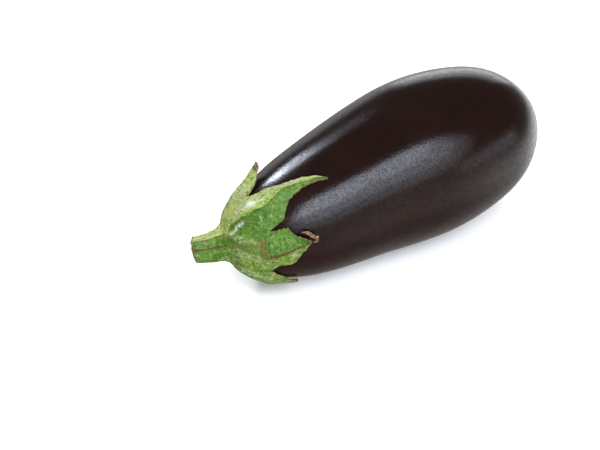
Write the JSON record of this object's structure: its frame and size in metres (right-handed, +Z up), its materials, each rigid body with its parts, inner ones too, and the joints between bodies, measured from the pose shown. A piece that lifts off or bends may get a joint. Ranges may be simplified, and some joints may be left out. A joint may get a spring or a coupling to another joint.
{
  "type": "eggplant",
  "caption": "Whole glossy dark eggplant lying on its belly, with a green lobed calyx and a short cut stalk.",
  "frame": {"origin": "middle of the bounding box on the surface that the eggplant rests on", "axes": "+X along the eggplant towards its blossom end, the stalk points along -X, +Z up"},
  "size_m": [0.2232, 0.0928, 0.0931],
  "materials": {
    "skin": "smooth waxy skin, near black with a purple-brown cast, with a clear gloss over fine pores",
    "calyx": "fleshy leaf green with paler folds, corky brown flecks and dried brown tips, satin"
  },
  "bodies": {
    "root": {"fruit": "skin", "calyx": "calyx"}
  },
  "joints": []
}
